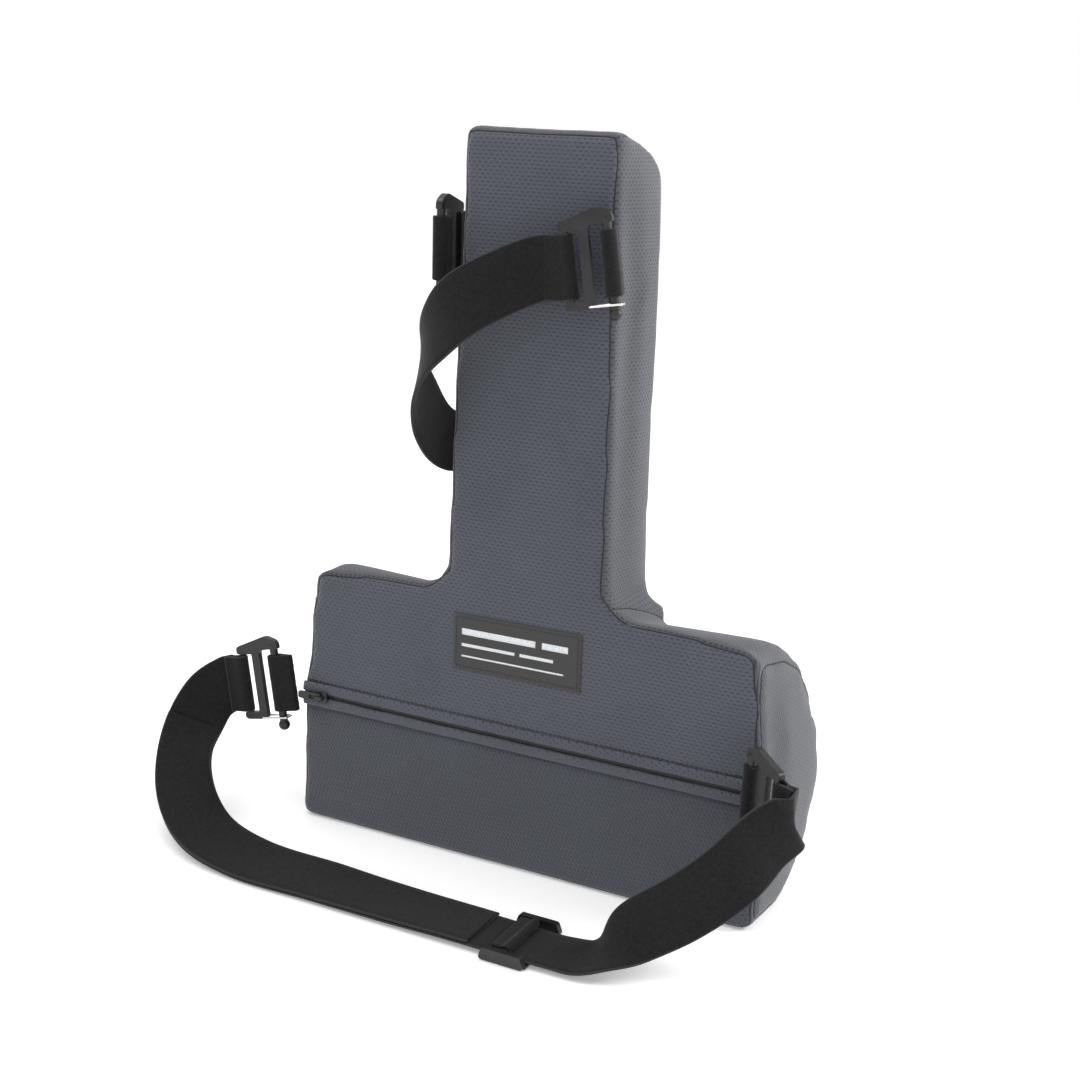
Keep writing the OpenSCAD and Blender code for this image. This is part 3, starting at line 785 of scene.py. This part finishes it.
def add_stitch(points, faces, middle, way, radius, length, sides):
    """One stitch: a short thread whose rounded ends dive into the cloth."""
    side = way.orthogonal().normalized()
    other = way.cross(side)
    first = len(points)
    rings = [(-0.5, 0.25), (-0.36, 0.85), (0.0, 1.0), (0.36, 0.85), (0.5, 0.25)]
    for along, share in rings:
        for k in range(sides):
            turn = 2 * math.pi * k / sides
            out = side * math.cos(turn) + other * math.sin(turn)
            points.append(middle + way * along * length + out * radius * share)
    for r in range(len(rings) - 1):
        for k in range(sides):
            a, b = first + r * sides + k, first + r * sides + (k + 1) % sides
            faces.append((a, b, b + sides, a + sides))
    faces.append(tuple(first + k for k in reversed(range(sides))))
    faces.append(tuple(first + (len(rings) - 1) * sides + k for k in range(sides)))


# ---- zipper ----


def swept(name, rings, material):
    """A closed tube through rings of points; each ring has the same number of points."""
    count = len(rings[0])
    points = [q for ring in rings for q in ring]
    faces = []
    for r in range(len(rings) - 1):
        for k in range(count):
            a, b = r * count + k, r * count + (k + 1) % count
            faces.append((a, b, b + count, a + count))
    faces.append(tuple(reversed(range(count))))
    faces.append(tuple(len(points) - count + k for k in range(count)))
    return new_object(name, points, faces, material)


WELT_PROUD = 2.3 * MM
WELT_STEPS = 180
WELT_SIDES = 14


def zipper_welt(node, side):
    """A folded lip of cover fabric beside the zipper, rolled over and rippling a little."""
    low, high = leaning_box(node)
    height = high[2] - low[2]
    lip = low[2] if side > 0 else high[2]
    rings = []
    for i in range(WELT_STEPS + 1):
        x = low[0] + (high[0] - low[0]) * i / WELT_STEPS
        ripple = 0.35 * MM * noise.noise(Vector((x * 38, side * 5.0, 0)))
        swell = 0.25 * MM * noise.noise(Vector((x * 70, side * 9.0, 4)))
        ring = []
        for k in range(WELT_SIDES):
            turn = 2 * math.pi * k / WELT_SIDES
            across = 0.5 - 0.5 * math.cos(turn)
            y = -WELT_PROUD * max(0.0, math.sin(turn)) ** 0.55 * (1 - 0.45 * across) - swell * (1 - across)
            y = y if math.sin(turn) > 0 else 0.6 * MM
            z = lip + side * (across * height + ripple * (1 - across))
            ring.append(from_leaning([[x, y, z]])[0])
        rings.append(ring if side < 0 else ring[::-1])
    obj = swept("zipper_lip_upper" if side > 0 else "zipper_lip_lower", rings, welt_fabric)
    p = to_leaning(vertices_of(obj))
    corners = np.array([corner.vertex_index for corner in obj.data.loops])
    add_uv(obj, np.column_stack([p[:, 0], p[:, 2] - 1.3 * p[:, 1]])[corners])
    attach(obj, "support")
    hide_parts(node)


zipper_welt("zipper_welt_upper", 1)
zipper_welt("zipper_welt_lower", -1)
TOPSTITCH_Z = ZIP_Z + ZIP_HALF + 2.4 * MM
topstitch_x = np.linspace(-ZIP_END + 2 * MM, ZIP_END - 2 * MM, 120)
topstitch = [on_back(x, TOPSTITCH_Z, 0.05 * MM) for x in topstitch_x]
stitches("zipper_topstitch", [topstitch], "support")


# ---- label ----

label_low, label_high = leaning_box("label")
LABEL_CENTRE = (label_low + label_high) / 2
LABEL_HALF_W = (label_high[0] - label_low[0]) / 2
LABEL_HALF_H = (label_high[2] - label_low[2]) / 2
LABEL_TILT = math.radians(0.5)


def label_point(u, v, lift):
    """A point of the label, u and v from its centre, lying on the cloth."""
    x = LABEL_CENTRE[0] + u * math.cos(LABEL_TILT) - v * math.sin(LABEL_TILT)
    z = LABEL_CENTRE[2] + u * math.sin(LABEL_TILT) + v * math.cos(LABEL_TILT)
    return on_back(x, z, lift)


def patch(name, u0, v0, u1, v1, thick, lift, material, cells):
    """A thin flat patch that lies on the label or the cloth, with its edges turned down."""
    columns, rows = cells
    points, faces, uv = [], [], []
    for j in range(rows + 1):
        for i in range(columns + 1):
            u, v = u0 + (u1 - u0) * i / columns, v0 + (v1 - v0) * j / rows
            rim = min(i, j, columns - i, rows - j)
            points.append(label_point(u, v, lift + (thick if rim else thick * 0.35)))
            uv.append((u, v))
    for j in range(rows):
        for i in range(columns):
            a = j * (columns + 1) + i
            faces.append((a, a + 1, a + columns + 2, a + columns + 1))
    obj = new_object(name, points, faces, material)
    corners = [corner.vertex_index for corner in obj.data.loops]
    add_uv(obj, [uv[i] for i in corners])
    shell = obj.modifiers.new("thickness", "SOLIDIFY")
    shell.thickness = max(thick, 0.2 * MM)
    shell.offset = -1
    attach(obj, "support")
    return obj


label = patch("label_ribbon", -LABEL_HALF_W, -LABEL_HALF_H, LABEL_HALF_W, LABEL_HALF_H,
              0.7 * MM, 0.1 * MM, label_fabric, (48, 20))
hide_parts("label")

STITCH_IN = 3 * MM
STITCH_LIFT = 0.85 * MM
border_u, border_v = LABEL_HALF_W - STITCH_IN, LABEL_HALF_H - STITCH_IN
border_turns = [(-1, -1), (1, -1), (1, 1), (-1, 1), (-1, -1)]
border = [(border_u * u, border_v * v) for u, v in border_turns]
border_runs = []
for (ua, va), (ub, vb) in zip(border, border[1:]):
    shares = np.linspace(0, 1, 16)
    run = [label_point(ua + (ub - ua) * t, va + (vb - va) * t, STITCH_LIFT) for t in shares]
    border_runs.append(run)
stitches("label_stitching", border_runs, "support", 0.22 * MM, 1.9 * MM, 2.7 * MM)

# Plain bars woven into the label, in mm: (centre u, centre v, width, height)
LABEL_BARS = [
    (-14, 7.5, 58, 4.5),
    (30, 7.5, 20, 4.5),
    (-22, -2, 42, 2.2),
    (16, -2, 26, 2.2),
    (-3, -10, 80, 1.2),
]
for i, (u, v, w, h) in enumerate(LABEL_BARS):
    patch(f"label_bar_{i}", (u - w / 2) * MM, (v - h / 2) * MM, (u + w / 2) * MM, (v + h / 2) * MM,
          0.12 * MM, 0.82 * MM, print_thread, (20, 3))


# ---- webbing ----

joints = {j["name"]: j for j in frame["joints"]}


def catmull_rom(p0, p1, p2, p3, t):
    """The smooth curve from p1 to p2, at share t of the way."""
    slope = (p2 - p0) * t
    bend = (2 * p0 - 5 * p1 + 4 * p2 - p3) * t**2
    twist = (3 * p1 - p0 - 3 * p2 + p3) * t**3
    return (2 * p1 + slope + bend + twist) / 2


def smooth_path(stations, steps):
    """Dense centres and width directions through [centre, width direction] stations."""
    centre = [np.array(s[0], float) for s in stations]
    width = [np.array(s[1], float) for s in stations]
    for values in (centre, width):
        values.insert(0, 2 * values[0] - values[1])
        values.append(2 * values[-1] - values[-2])
    dense_centre, dense_width = [], []
    for i in range(1, len(centre) - 2):
        for k in range(steps):
            t = k / steps
            dense_centre.append(catmull_rom(*centre[i - 1:i + 3], t))
            dense_width.append(catmull_rom(*width[i - 1:i + 3], t))
    dense_centre.append(centre[-2])
    dense_width.append(width[-2])
    return np.array(dense_centre), np.array(dense_width)


def even_path(centres, widths, pitch=1.6 * MM):
    """The same path with points at an even pitch."""
    gaps = np.linalg.norm(np.diff(centres, axis=0), axis=1)
    gone = np.concatenate([[0], np.cumsum(gaps)])
    wanted = np.linspace(0, gone[-1], max(2, int(gone[-1] / pitch)))
    at = [np.interp(wanted, gone, centres[:, k]) for k in range(3)]
    wide = [np.interp(wanted, gone, widths[:, k]) for k in range(3)]
    return np.column_stack(at), np.column_stack(wide), wanted


WEB_RIPPLE = 0.25 * MM


def ribbon(name, centres, widths, body=None, lift=0.0):
    """Webbing along a path: a flat woven band with rounded selvedges and a slight ripple."""
    centres, widths, gone = even_path(centres, widths)
    way = np.gradient(centres, axis=0)
    way /= np.linalg.norm(way, axis=1)[:, None]
    wide = widths - (widths * way).sum(1)[:, None] * way
    wide /= np.linalg.norm(wide, axis=1)[:, None]
    up = np.cross(way, wide)
    half_w, half_t = WEB_W / 2, WEB_T / 2 * 0.92
    flat = np.linspace(-half_w + 0.9 * MM, half_w - 0.9 * MM, 11)
    profile = [(a, -half_t) for a in flat] + [(half_w, -half_t * 0.45), (half_w, half_t * 0.45)]
    profile += [(a, half_t) for a in flat[::-1]] + [(-half_w, half_t * 0.45), (-half_w, -half_t * 0.45)]
    rings, uv = [], []
    for i, centre in enumerate(centres):
        ring = []
        for a, b in profile:
            wave = WEB_RIPPLE * noise.noise(Vector((gone[i] * 28, a * 45, 2.0)))
            ring.append(centre + wide[i] * a + up[i] * (b + lift + wave))
            uv.append((gone[i], a))
        rings.append(ring)
    obj = swept(name, rings, webbing)
    corners = [corner.vertex_index for corner in obj.data.loops]
    add_uv(obj, [uv[i] for i in corners])
    if body:
        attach(obj, body)
    return obj


# A strap's loop: its radius, where its layers close up, and how far from the bar it is sewn
STRAP_LOOP_R = 3.5 * MM
LOOP_CLOSES = 8 * MM
LONG_SEWN = 26 * MM
SHORT_SEWN = 14 * MM
# From a hook's tab bar to its strap bar
HOOK_REACH = 28 * MM


def strap_bar(place):
    """A hook's strap bar: its middle, the way out from the tab bar to it, and its direction."""
    joint = joints[place + "_hook_swing"]
    vertical, side = place.split("_")
    tab_bar, axis = np.array(joint["pos_m"]), np.array(joint["axis"])
    hook = vertices_of(frame["nodes"][f"{vertical}_hook_{side}"]) - tab_bar
    flat = hook - np.outer(hook @ axis, axis)
    out = flat[np.argmax(np.linalg.norm(flat, axis=1))]
    out = out / np.linalg.norm(out)
    return Vector(tab_bar + out * HOOK_REACH), Vector(out), Vector(axis)


def loop_stations(place, sewn_to, flip=1):
    """Webbing sewn round a strap bar: from the sewn end, to the bar, round it and out again."""
    bar, out, axis = strap_bar(place)
    normal = axis.cross(out) * flip
    layer = WEB_T / 2 + 0.1 * MM
    flat = [(sewn_to, -layer), ((sewn_to + LOOP_CLOSES) / 2, -layer), (LOOP_CLOSES, -1.5 * MM)]
    for degrees in (-85, -125, -160, 160, 125, 85):
        turn = math.radians(degrees)
        flat.append((STRAP_LOOP_R * math.cos(turn), STRAP_LOOP_R * math.sin(turn)))
    flat += [(LOOP_CLOSES, 1.5 * MM), (sewn_to, layer * 0.8)]
    return [[bar + out * u + normal * v, axis * flip] for u, v in flat]


def in_mm(rows):
    return [[Vector(c) * MM, Vector(w)] for c, w in rows]


# The upper strap bellies out behind the column, twists, and rises at its left side
upper_middle = in_mm([
    [[-24, -34, 401], [-0.35, 0.1, 0.92]],
    [[-47, -38, 378], [-0.5, 0.4, 0.75]],
    [[-63, -32, 350], [-0.35, 0.8, 0.45]],
    [[-71, -14, 322], [-0.1, 0.95, 0.25]],
    [[-75, 11, 297], [0, 0.75, 0.6]],
    [[-75, 38, 287], [0, 0.05, 1]],
    [[-75, 64, 302], [0, -0.75, 0.6]],
    [[-75, 76, 342], [0, -1, 0]],
    [[-74, 72, 384], [0, -0.7, -0.7]],
    [[-73, 55, 416], [0, -0.7, -0.7]],
])
upper_stations = loop_stations("upper_right", LONG_SEWN) + upper_middle
upper_stations += loop_stations("upper_left", SHORT_SEWN, -1)[::-1]
upper_strap = ribbon("strap_upper", *smooth_path(upper_stations, 8), "upper_strap")
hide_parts("upper_strap")

# The lower strap drops from the right hook, lies along the floor and climbs to the left hook
adjuster_low, adjuster_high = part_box("slide_adjuster")
ADJUSTER_X = (adjuster_low.x + adjuster_high.x) / 2 / MM
FLOOR_Y = (adjuster_low.y + adjuster_high.y) / 2 / MM
RUN_Z = 4.1
lower_middle = in_mm([
    [[203, -62, 90], [-0.3, 0, 0.95]],
    [[188, -80, 70], [-0.72, 0, 0.7]],
    [[162, -90, 46], [-0.75, 0.2, 0.62]],
    [[134, -98, 26], [-0.55, 0.5, 0.65]],
    [[111, FLOOR_Y + 2, 8], [-0.06, 1, 0.15]],
    [[ADJUSTER_X + 28, FLOOR_Y, RUN_Z], [0, 1, 0]],
    [[ADJUSTER_X - 28, FLOOR_Y, RUN_Z], [0, 1, 0]],
    [[-40, FLOOR_Y, RUN_Z], [0, 1, 0.05]],
    [[-100, FLOOR_Y, RUN_Z + 1], [0, 1, 0.12]],
    [[-160, FLOOR_Y, RUN_Z + 2], [0.08, 1, 0.18]],
    [[-206, -104, 13], [0.4, 0.85, 0.2]],
    [[-238, -86, 30], [0.85, 0.45, 0.1]],
    [[-254, -64, 54], [0.95, 0.1, -0.2]],
    [[-254, -38, 81], [0.45, 0.1, -0.86]],
])
right_loop = loop_stations("lower_right", SHORT_SEWN)
lower_stations = right_loop + lower_middle + loop_stations("lower_left", SHORT_SEWN, -1)[::-1]
LOWER_STEPS = 10
lower_path = smooth_path(lower_stations, LOWER_STEPS)
lower_strap = ribbon("strap_lower", *lower_path, "lower_strap")
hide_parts("lower_strap")

# The webbing doubles back from the left hook and lies on the first layer as far as the adjuster
ADJUSTER_STATION = len(right_loop) + 6
RETURN_STATIONS = 6.6
return_from = int(ADJUSTER_STATION * LOWER_STEPS)
return_to = int((ADJUSTER_STATION + RETURN_STATIONS) * LOWER_STEPS)
return_path = [values[return_from:return_to] for values in lower_path]
return_layer = ribbon("strap_lower_return", *return_path, lift=-(WEB_T + 0.2 * MM))
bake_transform(return_layer)
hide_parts("lower_strap_return")


def soft_webbing(node, body):
    """A short folded piece of webbing: the CAD shape with soft edges and a fuzzy surface."""
    obj = joined_copy("webbing_" + node, [node])
    remesh(obj, 0.7 * MM)
    relax(obj, 0.5, 3)
    points = vertices_of(obj)
    normals = np.array([v.normal for v in obj.data.vertices], float)
    fuzz = np.array([noise.noise(Vector(q) * 260) for q in points])
    move_vertices(obj, points + normals * fuzz[:, None] * FUZZ_DEPTH)
    obj.data.materials.clear()
    obj.data.materials.append(webbing)
    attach(obj, body)
    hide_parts(node)


for tab in ("upper_tab_left", "upper_tab_right", "lower_tab_left", "lower_tab_right"):
    soft_webbing(tab, "support")
soft_webbing("strap_end_loop", "adjuster")


# ---- carried-over CAD nodes: finer edges and full materials ----


def dress(node, material, bevel=0.0):
    obj = frame["nodes"][node]
    for slot in obj.material_slots:
        slot.material = material
    if bevel:
        modifier = obj.modifiers.new("edges", "BEVEL")
        modifier.width = bevel
        modifier.segments = 2
        modifier.limit_method = "ANGLE"
        modifier.angle_limit = math.radians(40)


for place in ("upper", "lower"):
    for side in ("left", "right"):
        dress(f"{place}_hook_{side}", hook_plastic, 0.5 * MM)
        dress(f"{place}_gate_{side}", wire)
dress("slide_adjuster", hook_plastic, 0.4 * MM)
dress("zipper_slider", zip_plastic, 0.2 * MM)
dress("zipper_pull", zip_plastic, 0.2 * MM)
dress("zipper_coil", zip_plastic)
dress("zipper_stops", zip_plastic)
dress("zipper_tapes", tape_fabric)


# ---- floor, light and camera ----


def studio_floor():
    n = Nodes("studio_floor")
    grain = n.speckle(3.0)
    shade = n.mix(grain, (0.9, 0.9, 0.9, 1), (0.93, 0.93, 0.93, 1))
    material = n.finish(shade, 0.7, Emission_Color=(1, 1, 1, 1), Emission_Strength=0.22)
    size = 12.0
    corners = [(-size, -size, 0), (size, -size, 0), (size, size, 0), (-size, size, 0)]
    floor = new_object("floor", corners, [(0, 1, 2, 3)], material)


def area_light(name, place, aim, size, power):
    light = bpy.data.lights.new(name, "AREA")
    light.shape = "DISK"
    light.size = size
    light.energy = power
    obj = bpy.data.objects.new(name, light)
    obj.location = place
    obj.rotation_euler = (Vector(aim) - Vector(place)).to_track_quat("-Z", "Y").to_euler()
    bpy.context.scene.collection.objects.link(obj)


def studio_world(light_level):
    """White surroundings; the camera sees pure white, whatever the level that lights the object."""
    world = bpy.data.worlds.new("studio")
    bpy.context.scene.world = world
    world.use_nodes = True
    tree = world.node_tree
    background = tree.nodes["Background"]
    background.inputs["Color"].default_value = (1, 1, 1, 1)
    path = tree.nodes.new("ShaderNodeLightPath")
    level = tree.nodes.new("ShaderNodeMapRange")
    level.inputs["To Min"].default_value = light_level
    level.inputs["To Max"].default_value = 1.0
    tree.links.new(path.outputs["Is Camera Ray"], level.inputs["Value"])
    tree.links.new(level.outputs["Result"], background.inputs["Strength"])


# Viewpoint: azimuth from straight behind towards the right, elevation above the floor
CAMERA_AZIMUTH = math.radians(29.32)
CAMERA_ELEVATION = math.radians(17.59)
CAMERA_DISTANCE = 1.1747
CAMERA_TARGET = Vector((0.0235, -0.025, 0.246))
CAMERA_LENS = 60.0


def studio_camera():
    camera = bpy.data.cameras.new("camera")
    camera.lens = CAMERA_LENS
    camera.sensor_width = 36.0
    away = Vector((
        math.sin(CAMERA_AZIMUTH) * math.cos(CAMERA_ELEVATION),
        -math.cos(CAMERA_AZIMUTH) * math.cos(CAMERA_ELEVATION),
        math.sin(CAMERA_ELEVATION),
    ))
    obj = bpy.data.objects.new("camera", camera)
    obj.location = CAMERA_TARGET + away * CAMERA_DISTANCE
    obj.rotation_euler = (-away).to_track_quat("-Z", "Y").to_euler()
    bpy.context.scene.collection.objects.link(obj)
    bpy.context.scene.camera = obj


studio_floor()
studio_world(0.85)
area_light("key", (1.7, 0.9, 1.3), (0, 0, 0.25), 1.0, 34)
area_light("top", (-0.5, -0.2, 2.2), (0, 0, 0.2), 1.6, 18)
studio_camera()
bpy.context.scene.view_settings.view_transform = "Standard"
